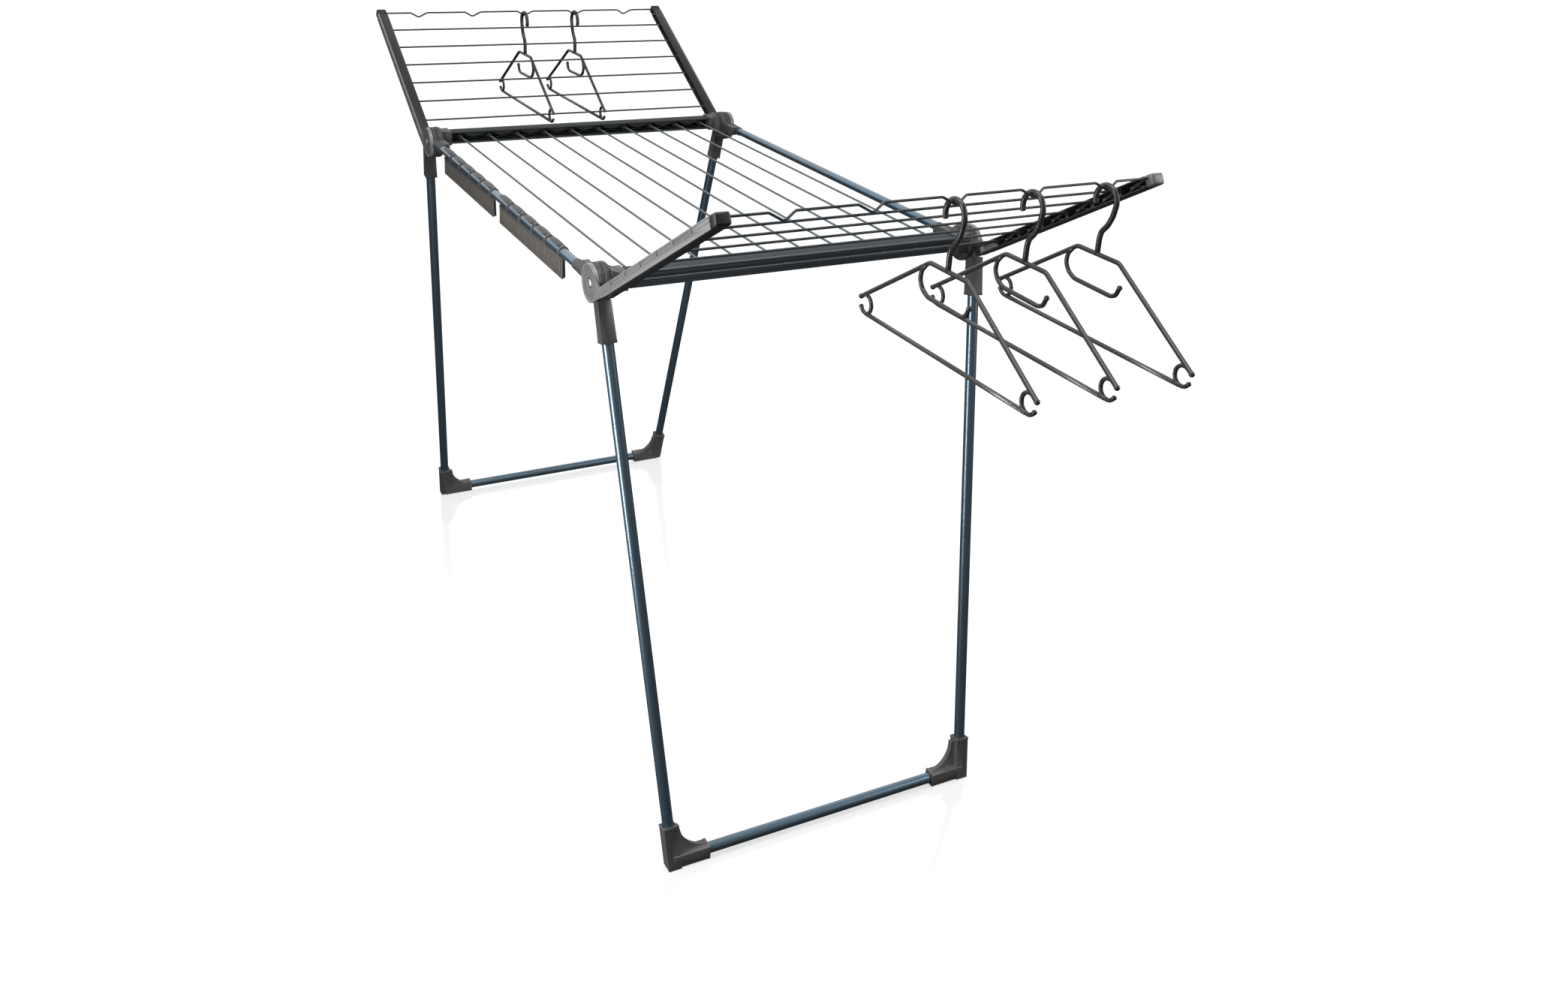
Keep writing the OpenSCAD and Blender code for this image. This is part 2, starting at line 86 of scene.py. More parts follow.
class Nodes:
    """A node tree that is built by adding one node after another."""

    def __init__(self, tree):
        self.tree = tree
        self.tree.nodes.clear()

    def node(self, kind, settings=None, inputs=None, output=0):
        """Adds a node with its settings and the values or links of its sockets."""
        made = self.tree.nodes.new(kind)
        for key, value in (settings or {}).items():
            if key == "stops":
                self.set_stops(made.color_ramp, value)
            else:
                setattr(made, key, value)
        for key, value in (inputs or {}).items():
            if isinstance(value, Term):
                self.tree.links.new(value.socket, made.inputs[key])
            else:
                made.inputs[key].default_value = value
        return Term(self, made.outputs[output])

    @staticmethod
    def set_stops(ramp, stops):
        while len(ramp.elements) > len(stops):
            ramp.elements.remove(ramp.elements[-1])
        while len(ramp.elements) < len(stops):
            ramp.elements.new(1.0)
        for element, (position, colour) in zip(ramp.elements, stops):
            element.position = position
            element.color = (*colour, 1.0) if len(colour) == 3 else colour

    def ramp(self, value, *stops):
        return self.node("ShaderNodeValToRGB", {"stops": stops}, {"Fac": value})

    def band(self, value, low, high):
        """Goes from 0 at the low value to 1 at the high value."""
        return self.node("ShaderNodeMapRange", {"interpolation_type": "SMOOTHSTEP"}, {
            "Value": value, "From Min": low, "From Max": high, "To Min": 0.0, "To Max": 1.0})

    def blend(self, share, first, second):
        """Mixes two colours, given as colours or links."""
        given = {0: share}
        for index, colour in ((6, first), (7, second)):
            given[index] = colour if isinstance(colour, Term) else (*colour, 1.0)
        return self.node("ShaderNodeMix", {"data_type": "RGBA"}, given, output=2)


class Finish(Nodes):
    """One surface finish: a material, its surface shader and the nodes behind them."""

    def __init__(self, name, **surface):
        self.material = bpy.data.materials.new(name)
        self.material.use_nodes = True
        super().__init__(self.material.node_tree)
        output = self.tree.nodes.new("ShaderNodeOutputMaterial")
        self.shader = self.tree.nodes.new("ShaderNodeBsdfPrincipled")
        self.tree.links.new(self.shader.outputs["BSDF"], output.inputs["Surface"])
        for socket, value in surface.items():
            self.shader.inputs[socket.replace("_", " ")].default_value = value
        self.place = self.node("ShaderNodeTexCoord", output="Object")

    def noise(self, scale, detail=3.0, roughness=0.5, stretch=(1, 1, 1)):
        """Cloudy pattern, from 0 to 1, drawn out along the axes that are stretched."""
        spot = self.place
        if stretch != (1, 1, 1):
            spot = self.node("ShaderNodeMapping", {"vector_type": "POINT"}, {
                "Vector": self.place, "Scale": [1 / s for s in stretch]})
        return self.node("ShaderNodeTexNoise", {}, {
            "Vector": spot, "Scale": scale, "Detail": detail, "Roughness": roughness})

    def cells(self, scale, feature="F1"):
        return self.node("ShaderNodeTexVoronoi", {"feature": feature}, {
            "Vector": self.place, "Scale": scale})

    def worn_and_lit_edges(self, low, high):
        """Marks the sharp outward edges of a piece; their lighter colour is partly wear and partly a
        painted edge highlight.
        """
        bend = self.node("ShaderNodeNewGeometry", output="Pointiness")
        return self.band(bend, low, high)

    def set(self, socket, value):
        if isinstance(value, Term):
            self.tree.links.new(value.socket, self.shader.inputs[socket])
        else:
            self.shader.inputs[socket].default_value = value

    def bump(self, height, strength, distance):
        self.set("Normal", self.node("ShaderNodeBump", {}, {
            "Height": height, "Strength": strength, "Distance": distance}))


def tube_paint():
    """Blue-grey metallic paint, baked smooth on the steel tubes."""
    paint = Finish("tube_paint", Metallic=0.8, IOR=1.5, Coat_Roughness=0.1)
    clouds = paint.noise(9.0, 4.0, 0.6, (3, 3, 3))
    flake = paint.noise(2600.0, 1.0)
    scuffs = paint.band(paint.noise(60.0, 6.0, 0.7, (1, 1, 6)), 0.66, 0.74)
    colour = paint.blend(clouds, (0.125, 0.19, 0.25), (0.16, 0.238, 0.305))
    colour = paint.blend(0.5 * paint.band(flake, 0.62, 0.72), colour, (0.26, 0.32, 0.36))
    colour = paint.blend(0.3 * scuffs, colour, (0.24, 0.28, 0.3))
    paint.set("Base Color", colour)
    paint.set("Roughness", 0.26 + 0.1 * clouds + 0.14 * scuffs)
    paint.set("Coat Weight", 0.6 - 0.4 * scuffs)
    paint.bump(paint.noise(420.0, 2.0) + 0.3 * flake, 0.12, 0.0004)
    return paint.material


def wire_coating(name, dark, light):
    """Plastic-coated drying wire."""
    coat = Finish(name, Metallic=0.35, IOR=1.48)
    clouds = coat.noise(14.0, 3.0, 0.5, (4, 4, 4))
    rubbed = coat.band(coat.noise(90.0, 5.0, 0.65), 0.6, 0.72)
    colour = coat.blend(clouds, dark, light)
    coat.set("Base Color", coat.blend(0.4 * rubbed, colour, (0.2, 0.22, 0.23)))
    coat.set("Roughness", 0.34 + 0.12 * clouds + 0.1 * rubbed)
    coat.bump(coat.noise(700.0, 2.0), 0.15, 0.0003)
    return coat.material


def moulded(name, dark, light, sheen, grain=0.35, edges=0.5, edge_wear_and_highlight=(0.2, 0.2, 0.2), ior=1.5):
    """Moulded plastic with a fine spark-eroded grain and slightly polished edges, lighter in colour as
    wear and as a painted highlight.
    """
    plastic = Finish(name, IOR=ior)
    clouds = plastic.noise(22.0, 4.0, 0.55)
    pits = plastic.noise(1900.0, 2.0, 0.6)
    coarse = plastic.cells(1300.0)
    edge = plastic.worn_and_lit_edges(0.512, 0.56)
    colour = plastic.blend(clouds, dark, light)
    colour = plastic.blend(0.35 * plastic.band(pits, 0.55, 0.7), colour,
                           [1.6 * c for c in light])
    # Edge colour: partly wear, partly a painted highlight on the rims.
    plastic.set("Base Color", plastic.blend(edges * edge, colour, edge_wear_and_highlight))
    plastic.set("Roughness", sheen + 0.14 * clouds - 0.12 * edge)
    plastic.bump(pits + 0.5 * coarse, grain, 0.0004)
    return plastic.material


def charcoal_plastic():
    return moulded("charcoal_plastic", (0.036, 0.034, 0.034), (0.056, 0.053, 0.053), 0.42,
                   edges=0.16)


def socket_plastic():
    # Darker copy of the charcoal plastic: painted shade that makes the leg sockets look shaded.
    return moulded("socket_plastic", (0.021, 0.02, 0.02), (0.035, 0.034, 0.034), 0.44, edges=0.14,
                   edge_wear_and_highlight=(0.22, 0.215, 0.215), ior=1.4)


def shoe_plastic():
    """Brown-grey plastic of the corner feet, a little scuffed."""
    return moulded("shoe_plastic", (0.08, 0.073, 0.072), (0.115, 0.107, 0.105), 0.46, edges=0.2,
                   edge_wear_and_highlight=(0.26, 0.25, 0.25))


def arm_plastic():
    # Lighter copy of the charcoal plastic: painted light on the arms' outer faces, discs, panels and
    # one cap.
    return moulded("arm_plastic", (0.1, 0.1, 0.104), (0.14, 0.14, 0.145), 0.26,
                   grain=0.16, edges=0.5, edge_wear_and_highlight=(0.36, 0.36, 0.37))


def channel_plastic():
    # Near-black copy of the plastic: painted shade inside the arm and rail channels, in the slot plugs
    # and in the rivet hollows.
    return moulded("channel_plastic", (0.01, 0.01, 0.011), (0.017, 0.017, 0.018), 0.4,
                   grain=0.16, edges=0.25, edge_wear_and_highlight=(0.1, 0.1, 0.1), ior=1.3)


def cap_rubber():
    return moulded("cap_rubber", (0.012, 0.011, 0.011), (0.02, 0.019, 0.018), 0.4,
                   grain=0.2, edges=0.3, edge_wear_and_highlight=(0.06, 0.06, 0.06))


def rail_paint():
    """Satin blue-grey finish of the end rails."""
    rail = Finish("rail_paint", Metallic=0.3, IOR=1.5)
    clouds = rail.noise(12.0, 4.0, 0.6, (1, 4, 1))
    pits = rail.noise(1500.0, 2.0, 0.6)
    edge = rail.worn_and_lit_edges(0.51, 0.56)
    colour = rail.blend(clouds, (0.038, 0.05, 0.058), (0.058, 0.072, 0.082))
    # Lighter sharp edges: partly wear, partly a painted highlight on the rims and the ridge.
    rail.set("Base Color", rail.blend(0.14 * edge, colour, (0.2, 0.23, 0.25)))
    rail.set("Roughness", 0.36 + 0.12 * clouds - 0.1 * edge)
    rail.bump(pits, 0.22, 0.0003)
    return rail.material


def rail_top():
    """Matt upper flange of the end rails."""
    return moulded("rail_top", (0.026, 0.032, 0.037), (0.04, 0.048, 0.054), 0.72, edges=0.1,
                   ior=1.2)


def hanger_plastic():
    """Glossy black plastic with faint flow marks."""
    gloss = Finish("hanger_plastic", IOR=1.5)
    flow = gloss.noise(34.0, 5.0, 0.6, (2, 1, 2))
    specks = gloss.band(gloss.noise(420.0, 3.0, 0.7), 0.64, 0.72)
    edge = gloss.worn_and_lit_edges(0.52, 0.6)
    colour = gloss.blend(flow, (0.034, 0.033, 0.031), (0.055, 0.052, 0.05))
    colour = gloss.blend(0.35 * specks, colour, (0.11, 0.11, 0.105))
    # Lighter sharp edges and seam ridges: partly wear, partly painted highlight lines.
    gloss.set("Base Color", gloss.blend(0.25 * edge, colour, (0.1, 0.1, 0.1)))
    gloss.set("Roughness", 0.13 + 0.12 * flow + 0.15 * specks)
    gloss.bump(gloss.noise(260.0, 3.0) + 0.4 * flow, 0.2, 0.0005)
    return gloss.material


def fin_plastic():
    """Soft brown-grey plastic of the comb fins."""
    return moulded("fin_plastic", (0.04, 0.035, 0.031), (0.072, 0.065, 0.058), 0.5,
                   grain=0.3, edges=0.3, edge_wear_and_highlight=(0.2, 0.185, 0.165))


def clip_plastic():
    """Dark plastic of the clips that hold the combs."""
    return moulded("clip_plastic", (0.016, 0.015, 0.014), (0.026, 0.025, 0.024), 0.26,
                   grain=0.2, edges=0.4)


def rivet_steel():
    """Bright zinc-plated steel, lightly brushed."""
    steel = Finish("rivet_steel", Metallic=1.0)
    brushed = steel.noise(900.0, 3.0, 0.6, (1, 1, 8))
    clouds = steel.noise(160.0, 3.0)
    steel.set("Base Color", steel.blend(clouds, (0.62, 0.63, 0.65), (0.8, 0.81, 0.82)))
    steel.set("Roughness", 0.34 + 0.16 * brushed)
    steel.bump(brushed, 0.08, 0.0002)
    return steel.material


FINISHES = {
    "tube_steel": tube_paint(),
    "wire_steel": wire_coating("wire_coating", (0.115, 0.13, 0.138), (0.16, 0.175, 0.184)),
    "wing_wire": wire_coating("wing_wire_coating", (0.05, 0.064, 0.074), (0.075, 0.092, 0.104)),
    "charcoal_plastic": charcoal_plastic(),
    "socket_plastic": socket_plastic(),
    "shoe_plastic": shoe_plastic(),
    "arm_plastic": arm_plastic(),
    "channel_plastic": channel_plastic(),
    "cap_rubber": cap_rubber(),
    "rail_plastic": rail_paint(),
    "rail_top": rail_top(),
    "hanger_plastic": hanger_plastic(),
    "comb_plastic": fin_plastic(),
    "clip_plastic": clip_plastic(),
    "rivet_steel": rivet_steel(),
}


# ---------------------------------------------------------------- the CAD nodes that stay

def finish_cad_nodes():
    """Paints the tubes and the straight wires, which keep their CAD shape."""
    for name, node in frame["nodes"].items():
        finish = "charcoal_plastic"
        if "tube" in name:
            finish = "tube_steel"
        elif "table_wire" in name:
            finish = "wire_steel"
        elif "wire" in name:
            finish = "wing_wire"
        elif "rail" in name:
            finish = "rail_plastic"
        elif "hanger" in name:
            finish = "hanger_plastic"
        elif "arm" in name:
            finish = "arm_plastic"
        elif "comb" in name:
            finish = "comb_plastic"
        elif "rivets" in name:
            finish = "rivet_steel"
        for slot in node.material_slots:
            slot.material = FINISHES[finish]


finish_cad_nodes()


# ---------------------------------------------------------------- the bench: modelling by hand

def bench():
    """Clears the selection, out of edit mode, before a new piece is started."""
    if bpy.context.object and bpy.context.object.mode != "OBJECT":
        bpy.ops.object.mode_set(mode="OBJECT")
    bpy.ops.object.select_all(action="DESELECT")


def hold(piece):
    """Makes a piece the only one that the tools work on."""
    bench()
    piece.select_set(True)
    bpy.context.view_layer.objects.active = piece
    return piece


def started(name):
    """Names the primitive just added, settles its place in its mesh and opens it for editing."""
    piece = bpy.context.object
    piece.name = name
    piece.data.name = name
    bpy.ops.object.transform_apply(location=True, rotation=True, scale=True)
    bpy.ops.object.mode_set(mode="EDIT")
    bpy.ops.mesh.select_all(action="SELECT")
    return piece


def pick(piece, kind, wanted):
    """Selects the faces, edges or corners whose middle passes a test; faces also give their normal."""
    bpy.ops.mesh.select_mode(type={"faces": "FACE", "edges": "EDGE", "verts": "VERT"}[kind])
    bpy.ops.mesh.select_all(action="DESELECT")
    mesh = bmesh.from_edit_mesh(piece.data)
    for part in getattr(mesh, kind):
        if kind == "faces":
            part.select_set(wanted(part.calc_center_median(), part.normal))
        elif kind == "edges":
            part.select_set(wanted(part.verts[0].co, part.verts[1].co))
        else:
            part.select_set(wanted(part.co))
    mesh.select_flush_mode()
    bmesh.update_edit_mesh(piece.data)


def pull(step):
    bpy.ops.mesh.extrude_region_move(TRANSFORM_OT_translate={"value": tuple(step)})


def shrink(share, centre, also=None):
    value = (share, share, share) if also is None else also
    bpy.ops.transform.resize(value=value, center_override=tuple(centre))


def close_up(piece):
    """Caps the open ends and turns the faces outwards."""
    bpy.ops.mesh.select_mode(type="VERT")
    bpy.ops.mesh.select_all(action="SELECT")
    bpy.ops.mesh.fill_holes(sides=0)
    bpy.ops.mesh.select_all(action="SELECT")
    bpy.ops.mesh.normals_make_consistent(inside=False)
    bpy.ops.object.mode_set(mode="OBJECT")
    return piece


def soften(piece, width, segments=2, angle=32):
    """Rounds the sharp edges of a piece and smooths its shading."""
    hold(piece)
    if width:
        rounding = piece.modifiers.new("rounding", "BEVEL")
        rounding.width = width
        rounding.segments = segments
        rounding.limit_method = "ANGLE"
        rounding.angle_limit = math.radians(angle)
        rounding.miter_outer = "MITER_ARC"
        rounding.use_clamp_overlap = True
        bpy.ops.object.modifier_apply(modifier=rounding.name)
    bpy.ops.object.shade_smooth_by_angle(angle=math.radians(40))
    return piece


def fuse(piece, other, operation="UNION"):
    """Joins another solid to a piece, or cuts it out, and throws the other away."""
    hold(piece)
    joint = piece.modifiers.new("joint", "BOOLEAN")
    joint.operation = operation
    joint.solver = "EXACT"
    joint.object = other
    bpy.ops.object.modifier_apply(modifier=joint.name)
    hold(other)
    bpy.ops.object.delete()
    return piece


def gather(name, *pieces):
    """Joins pieces into one object."""
    hold(pieces[0])
    for other in pieces[1:]:
        other.select_set(True)
    bpy.ops.object.join()
    pieces[0].name = name
    pieces[0].data.name = name
    return pieces[0]


def settle(piece, place):
    """Moves a finished piece to its place on the rack, and leaves that place in its mesh."""
    hold(piece)
    piece.matrix_world = place
    bpy.ops.object.transform_apply(location=True, rotation=True, scale=True)
    if place.determinant() < 0:
        bpy.ops.object.mode_set(mode="EDIT")
        bpy.ops.mesh.select_all(action="SELECT")
        bpy.ops.mesh.flip_normals()
        bpy.ops.object.mode_set(mode="OBJECT")
    return piece


def another(piece, name, place):
    """A copy of a piece with its own mesh, at another place on the rack."""
    copied = piece.copy()
    copied.data = piece.data.copy()
    copied.name = name
    copied.data.name = name
    bpy.context.scene.collection.objects.link(copied)
    return settle(copied, place)


def discard(*pieces):
    for piece in pieces:
        hold(piece)
        bpy.ops.object.delete()


def fit(piece, body, finish, slot, *nodes):
    """Fits a finished piece to the body it moves with, in place of the CAD nodes it stands for."""
    piece.data.materials.clear()
    piece.data.materials.append(FINISHES[finish])
    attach(piece, body)
    if nodes:
        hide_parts(*nodes)
    return piece


def block(name, low, high):
    """A block from its low corner to its high corner, given in millimetres, open for editing."""
    bench()
    low, high = Vector(low) * MM, Vector(high) * MM
    bpy.ops.mesh.primitive_cube_add(size=1, location=(low + high) / 2)
    bpy.context.object.scale = high - low
    return started(name)


def outline(name, points, depth, thickness, plane="XZ"):
    """A plate cut to an outline, drawn point by point, and then given its thickness."""
    across = {"XZ": lambda p: Vector((p[0], depth, p[1])), "YZ": lambda p: Vector((depth, p[0], p[1])),
              "XY": lambda p: Vector((p[0], p[1], depth))}[plane]
    towards = {"XZ": Vector((0, 1, 0)), "YZ": Vector((1, 0, 0)), "XY": Vector((0, 0, 1))}[plane]
    bench()
    bpy.ops.mesh.primitive_plane_add(size=MM, location=across(points[0]) * MM)
    piece = started(name)
    bpy.ops.mesh.select_mode(type="VERT")
    bpy.ops.mesh.select_all(action="SELECT")
    bpy.ops.mesh.merge(type="CENTER")
    for here, there in zip(points, points[1:]):
        pull((across(there) - across(here)) * MM)
    bpy.ops.mesh.select_all(action="SELECT")
    bpy.ops.mesh.edge_face_add()
    pull(towards * thickness * MM)
    return close_up(piece)


def turned(name, rings, centre, towards, sides=48):
    """A round piece turned on its axis: rings of radius and distance along the axis, in millimetres."""
    bench()
    way = Vector(towards).normalized()
    centre = Vector(centre) * MM
    radius, along = rings[0]
    bpy.ops.mesh.primitive_circle_add(vertices=sides, radius=radius * MM,
                                      location=centre + way * along * MM,
                                      rotation=way.to_track_quat("Z", "Y").to_euler())
    piece = started(name)
    for wider, further in rings[1:]:
        pull(way * (further - along) * MM)
        shrink(wider / radius, centre + way * further * MM)
        radius, along = wider, further
    return close_up(piece)


def arc(centre, radius, first, last, steps):
    """Points on an arc, from its first to its last angle in degrees."""
    angles = [math.radians(first + (last - first) * k / steps) for k in range(steps + 1)]
    return [(centre[0] + radius * math.cos(a), centre[1] + radius * math.sin(a)) for a in angles]


ROUND_TIP = ((0.5, 0.87), (0.37, 0.5), (0.11, 0.16))
BALL_TIP = ((0.3, 1.14), (0.55, 1.2), (0.6, 0.92), (0.32, 0.5), (0.08, 0.14))
FLAT_TIP = ((0.12, 0.9),)


class Rod:
    """A round rod, drawn from its first tip by straight runs and bends, in millimetres."""

    def __init__(self, name, radius, start, towards, tip=ROUND_TIP, sides=14, seam=None):
        bench()
        self.radius = radius
        self.way = Vector(towards).normalized()
        length = sum(step for step, _ in tip) * radius
        self.spot = Vector(start) - self.way * length
        width = tip[-1][1]
        bpy.ops.mesh.primitive_circle_add(vertices=sides, radius=radius * width * MM,
                                          location=self.spot * MM,
                                          rotation=self.way.to_track_quat("Z", "Y").to_euler())
        self.piece = started(name)
        widths = [w for _, w in tip[:-1]][::-1] + [1.0]
        for (step, _), wider in zip(tip[::-1], widths):
            self.run(step * radius)
            self.swell(wider / width)
            width = wider
        if seam:
            self.raise_seam(Vector(seam))

    def raise_seam(self, side):
        """Presses the mould's parting line into the section, on both sides of the rod."""
        mesh = bmesh.from_edit_mesh(self.piece.data)
        for corner in mesh.verts:
            out = corner.co - self.spot * MM
            if corner.select and abs(out.normalized().dot(side)) > 0.985:
                corner.co += out.normalized() * 0.00022
        bmesh.update_edit_mesh(self.piece.data)

    def swell(self, share):
        shrink(share, self.spot * MM)

    def run(self, length):
        pull(self.way * length * MM)
        self.spot = self.spot + self.way * length

    def bend(self, angle, radius, axis):
        """Bends the rod by an angle in degrees about an axis, as seen along that axis."""
        axis = Vector(axis).normalized()
        centre = self.spot + axis.cross(self.way) * radius
        steps = max(2, round(abs(angle) / 11))
        bpy.ops.mesh.spin(steps=steps, angle=-math.radians(angle), center=tuple(centre * MM),
                          axis=tuple(axis))
        turn = Matrix.Rotation(math.radians(angle), 3, axis)
        self.spot = centre + turn @ (self.spot - centre)
        self.way = turn @ self.way

    def through(self, *stops):
        """Runs through points, each given with the radius of the bend there; the last has none."""
        for (stop, radius), (following, _) in zip(stops, stops[1:]):
            stop, following = Vector(stop), Vector(following)
            leave = (following - stop).normalized()
            angle = self.way.angle(leave)
            reach = radius * math.tan(angle / 2)
            self.run((stop - self.spot).length - reach)
            self.bend(math.degrees(angle), radius, self.way.cross(leave))
        self.run((Vector(stops[-1][0]) - self.spot).length)

    def finish(self, tip=ROUND_TIP):
        width = 1.0
        for step, wider in tip:
            self.run(step * self.radius)
            self.swell(wider / width)
            width = wider
        close_up(self.piece)
        return soften(self.piece, 0)


# ---------------------------------------------------------------- places on the rack

record_joints = {j["name"]: j for j in frame["joints"]}
RIVET = [1000 * c for c in record_joints["front_wing_fold"]["pos_m"]]
RIVET_X, RIVET_Z = RIVET[0], RIVET[2]
ARM_Y = 345.6
WING_ANGLE = {"front": 30.1, "rear": 28.9}
WIRE_FIRST, WIRE_PITCH, WIRE_DROP = 90.9, 60.8, -20.3
NOTCH_PITCH, NOTCH_DEPTH = 125.3, 10.7
LEG_LEAN, LEG_TURN = 12.19, 3.3
TABLE_PITCH, TABLE_WIRE_Z = 61, 938
RAIL_X, RAIL_IN, RAIL_LOW, RAIL_HIGH, RAIL_END = 499.7, 467.7, 924.5, 948.8, 315

MIRROR_X = Matrix.Diagonal((-1, 1, 1, 1))
MIRROR_Y = Matrix.Diagonal((1, -1, 1, 1))


def corner(end, side):
    """Carries a piece of the front right corner to another corner of the rack."""
    place = Matrix.Identity(4)
    if side == "left":
        place = MIRROR_Y @ place
    if end == "rear":
        place = MIRROR_X @ place
    return place


def wing_place(end, side="right"):
    """From the frame of a wing, with X along its arm from the rivet, to the rack."""
    tilt = Matrix.Rotation(-math.radians(WING_ANGLE[end]), 4, "Y")
    return corner(end, side) @ Matrix.Translation(Vector((RIVET_X, 0, RIVET_Z)) * MM) @ tilt


def leg_place():
    """From the frame of the front right leg, with Z up along it, to the rack."""
    lean = math.radians(LEG_LEAN)
    foot = Vector((RIVET_X + 22.8 * math.cos(lean), 335.2, RIVET_Z + 22.8 * math.sin(lean))) * MM
    return (Matrix.Translation(foot) @ Matrix.Rotation(-lean, 4, "Y")
            @ Matrix.Rotation(-math.radians(LEG_TURN), 4, "X"))


# ---------------------------------------------------------------- wings

def arm_outline():
    disc = arc((0, 0), 30, -80, -359.3, 56)
    fillet = arc((46, 0.5), 16, 180.6, 270, 7)
    return disc + fillet + [(449, -15.5), (449, -32), (60, -32)]


def arm_shell():
    """Outer wall of an arm, with the slots that the wire ends show through."""
    shell = outline("arm_shell", arm_outline(), ARM_Y - 3.4, 3.0)
    mouth = turned("mouth", [(28.1, -5), (28.1, 2)], (0, ARM_Y, 0), (0, 1, 0), 72)
    fuse(shell, mouth, "DIFFERENCE")
    for k in range(7):
        x = WIRE_FIRST + k * WIRE_PITCH
        slot = block("slot", (x - 1.4, ARM_Y - 2.2, WIRE_DROP - 3.2),
                     (x + 1.4, ARM_Y + 2, WIRE_DROP + 3.2))
        bpy.ops.object.mode_set(mode="OBJECT")
        soften(slot, 0.5 * MM, 2)
        fuse(shell, slot, "DIFFERENCE")
    return soften(shell, 0.8 * MM, 2)


def arm_channel():
    """Flanges, ribs and wire bosses on the inner side of an arm."""
    inner, wall = ARM_Y - 22.2, ARM_Y - 3
    wires = [WIRE_FIRST + k * WIRE_PITCH for k in range(7)]
    parts = []
    for low, start in ((-17.7, 37), (-32, 32)):
        flange = block("flange", (start, inner, low), (449, wall, low + 2.2))
        bpy.ops.object.mode_set(mode="OBJECT")
        parts.append(soften(flange, 0.5 * MM, 2))
    for k, x in enumerate(wires):
        boss = turned("boss", [(3.2, 0.4), (3.2, 0), (4.3, 0), (4.6, 0.5), (4.6, 18)],
                      (x, inner + 1.0, WIRE_DROP), (0, 1, 0), 20)
        parts.append(soften(boss, 0))
        plug = block("plug", (x - 1.3, ARM_Y - 2.4, WIRE_DROP - 3.1),
                     (x + 1.3, ARM_Y - 0.62, WIRE_DROP + 3.1))
        bpy.ops.object.mode_set(mode="OBJECT")
        parts.append(plug)
        web = block("web", (x - 0.7, inner + 5, -31), (x + 0.7, wall + 0.5, -16.6))
        bpy.ops.object.mode_set(mode="OBJECT")
        parts.append(soften(web, 0.25 * MM, 1))
        if k == 6:
            continue
        for slope in (-1, 1):
            middle = Vector((x + WIRE_PITCH / 2, (inner + wall) / 2 + 3, -23.7))
            rib = block("rib", middle - Vector((31, 5.5, 0.6)), middle + Vector((31, 6.5, 0.6)))
            bpy.ops.transform.rotate(value=slope * math.radians(12), orient_axis="Y",
                                     center_override=tuple(middle * MM))
            bpy.ops.object.mode_set(mode="OBJECT")
            parts.append(soften(rib, 0.25 * MM, 1))
    return gather("arm_channel", arm_washer(), *parts)


def arm_disc():
    """Domed head of an arm, with a raised rim and a hollow for the rivet."""
    rings = [(10, 0.3), (28.8, 0.3), (29.8, 1.2), (30, 6.2), (29.5, 7.2), (28.6, 7.75), (27.4, 7.85),
             (26.7, 7.4), (26.2, 6.9), (25.4, 6.7), (22, 7.0), (17, 7.3), (12, 7.5), (9.6, 7.55),
             (8.9, 7.3), (8.5, 6.6), (8.3, 5.4), (7.9, 5.2)]
    return soften(turned("arm_disc", rings, (0, ARM_Y - 8.3, 0), (0, 1, 0), 72), 0)


def arm_washer():
    """Near-black ring under the head of the hinge rivet: a painted shadow in the hollow around the
    rivet.
    """
    rings = [(8.1, 0), (8.2, 0.3), (8.1, 0.6), (6.4, 0.75), (4, 0.8)]
    return soften(turned("arm_washer", rings, (0, ARM_Y - 3.1, 0), (0, 1, 0), 32), 0)


def arm_panel():
    """Raised rim of the long panel between two wires."""
    bench()
    middle = Vector((WIRE_FIRST + WIRE_PITCH / 2, ARM_Y - 0.55, WIRE_DROP)) * MM
    bpy.ops.mesh.primitive_plane_add(size=1, location=middle, rotation=(-math.pi / 2, 0, 0))
    bpy.context.object.scale = (50 * MM, 6.6 * MM, 1)
    panel = started("arm_panel")
    bpy.ops.mesh.bevel(offset=2.6 * MM, segments=4, affect="VERTICES")
    bpy.ops.mesh.select_all(action="SELECT")
    pull((0, 0.55 * MM, 0))
    bpy.ops.mesh.inset(thickness=1.2 * MM)
    pull((0, -0.5 * MM, 0))
    close_up(panel)
    return soften(panel, 0.16 * MM, 2)


def arm_cap():
    """Rounded cap on the end of an arm."""
    cap = block("arm_cap", (450.5, ARM_Y - 22.4, -32.8), (466, ARM_Y, -14.9))
    pick(cap, "faces", lambda c, n: n.x > 0.5)
    shrink(1, (0.466, (ARM_Y - 11.2) * MM, -0.0238), (1, 0.96, 0.95))
    bpy.ops.object.mode_set(mode="OBJECT")
    return soften(cap, 3.6 * MM, 5, 60)


def notched_wire():
    """Outermost wire of a wing, pressed down into five notches."""
    x = WIRE_FIRST + 6 * WIRE_PITCH
    low = WIRE_DROP - NOTCH_DEPTH
    rod = Rod("notched_wire", 1.9, (x, 0.5 - ARM_Y, WIRE_DROP), (0, 1, 0), FLAT_TIP, 12)
    stops = []
    for k in range(-2, 3):
        y = k * NOTCH_PITCH
        stops += [((x, y - 18.5, WIRE_DROP), 6), ((x, y - 1.9, low), 3.2),
                  ((x, y + 1.9, low), 3.2), ((x, y + 18.5, WIRE_DROP), 6)]
    rod.through(*stops, ((x, ARM_Y - 0.7, WIRE_DROP), 0))
    return rod.finish(FLAT_TIP)


